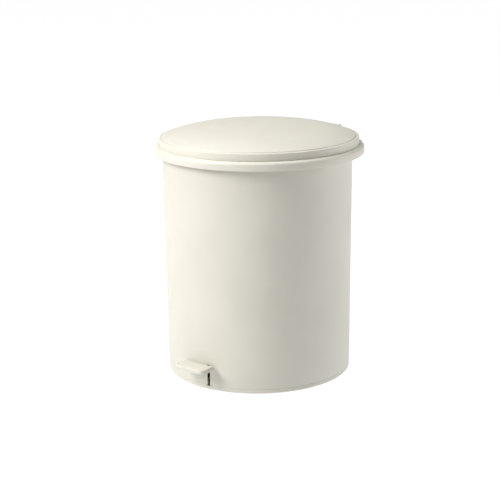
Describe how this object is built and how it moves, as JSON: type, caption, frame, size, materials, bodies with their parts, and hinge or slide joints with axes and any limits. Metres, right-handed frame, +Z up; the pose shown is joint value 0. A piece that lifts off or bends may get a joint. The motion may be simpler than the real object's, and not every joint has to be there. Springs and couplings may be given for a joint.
{
  "type": "pedal trash can",
  "caption": "Round pedal trash can with overhanging collar, domed hinged lid, foot pedal lever, push rod and lift-out inner bucket.",
  "frame": {"origin": "on the floor, at the axis of the round body", "axes": "+Z up, -Y towards the foot pedal, +Y towards the lid hinge"},
  "size_m": [0.28, 0.2963, 0.3343],
  "materials": {
    "cream_plastic": "satin moulded plastic",
    "cream_shell": "satin moulded plastic",
    "bucket_plastic": "grey moulded plastic, fine grain",
    "steel_wire": "zinc-plated steel",
    "black_rubber": "matt rubber",
    "grey_plastic": "grey moulded plastic"
  },
  "bodies": {
    "can": {"outer_shell": "cream_shell", "base_plate": "cream_plastic", "foot_1": "black_rubber", "foot_2": "black_rubber", "foot_3": "black_rubber", "foot_4": "black_rubber", "collar_ring": "cream_plastic", "hinge_pin": "steel_wire", "pin_cap_left": "black_rubber", "pin_cap_right": "black_rubber", "lid_stop_1": "black_rubber", "lid_stop_2": "black_rubber", "lid_stop_3": "black_rubber", "rod_guide_lower": "grey_plastic", "rod_guide_upper": "grey_plastic", "pedal_axle": "steel_wire", "axle_ring_left": "black_rubber", "axle_ring_right": "black_rubber"},
    "lid_body": {"lid": "cream_plastic"},
    "pedal": {"pedal_pad": "cream_plastic", "pedal_lever": "steel_wire"},
    "rod": {"push_rod": "steel_wire", "rod_ring_lower": "black_rubber", "rod_ring_upper": "black_rubber"},
    "bucket": {"inner_bucket": "bucket_plastic"},
    "bail": {"bucket_bail": "steel_wire", "bail_grip": "grey_plastic"}
  },
  "joints": [
    {"name": "lid_hinge", "type": "hinge", "parent": "can", "child": "lid_body", "pos_m": [0, 0.139, 0.311], "axis": [-1, 0, 0], "range_deg": [0, 70]},
    {"name": "pedal_pivot", "type": "hinge", "parent": "can", "child": "pedal", "pos_m": [0.013, -0.03, 0.025], "axis": [1, 0, 0], "range_deg": [0, 12.64]},
    {"name": "rod_lift", "type": "slide", "parent": "can", "child": "rod", "axis": [0, 0, 1], "range_m": [0, 0.03221]},
    {"name": "bucket_lift", "type": "slide", "parent": "can", "child": "bucket", "axis": [0, 0, 1], "range_m": [0, 0.006]},
    {"name": "bail_swing", "type": "hinge", "parent": "bucket", "child": "bail", "pos_m": [0, 0, 0.2971], "axis": [-1, 0, 0], "range_deg": [0, 10]}
  ],
  "couplings": [
    {"joint": "pedal_pivot", "follows": "lid_hinge", "ratio": 0.18054},
    {"joint": "rod_lift", "follows": "lid_hinge", "m_per_rad": 0.026364}
  ]
}
